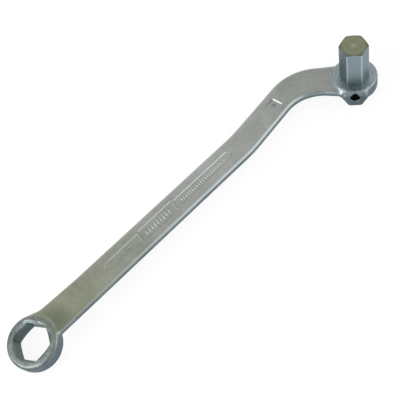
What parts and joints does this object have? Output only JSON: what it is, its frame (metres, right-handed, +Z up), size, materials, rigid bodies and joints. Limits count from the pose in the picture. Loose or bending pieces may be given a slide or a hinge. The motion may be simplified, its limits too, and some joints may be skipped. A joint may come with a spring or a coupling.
{
  "type": "ring and hexagon wrench",
  "caption": "Forged steel wrench with a tilted hexagonal ring at one end and, on an in-plane bent neck, an upright male hexagon clamped by a set screw.",
  "frame": {"origin": "centre of the ring's hexagonal socket, in the plane of the ring's upper face", "axes": "+X along the straight handle from the ring towards the bent neck, +Z up along the axis of the male hexagon, +Y to the left of the handle"},
  "size_m": [0.3969, 0.0721, 0.0624],
  "materials": {
    "forged_steel": "satin zinc-grey plating over a forged surface",
    "turned_steel": "satin plating over drawn and turned steel",
    "screw_steel": "black oxide"
  },
  "bodies": {
    "wrench": {"wrench_body": "forged_steel"},
    "drive": {"hex_bit": "turned_steel"},
    "clamp": {"set_screw": "screw_steel"}
  },
  "joints": [
    {"name": "hex_slide", "type": "slide", "parent": "wrench", "child": "drive", "axis": [0, 0, 1], "range_m": [-0.035, 0.003]},
    {"name": "screw_travel", "type": "slide", "parent": "wrench", "child": "clamp", "axis": [-0.7431, -0.6691, 0], "range_m": [0, 0.006]}
  ]
}
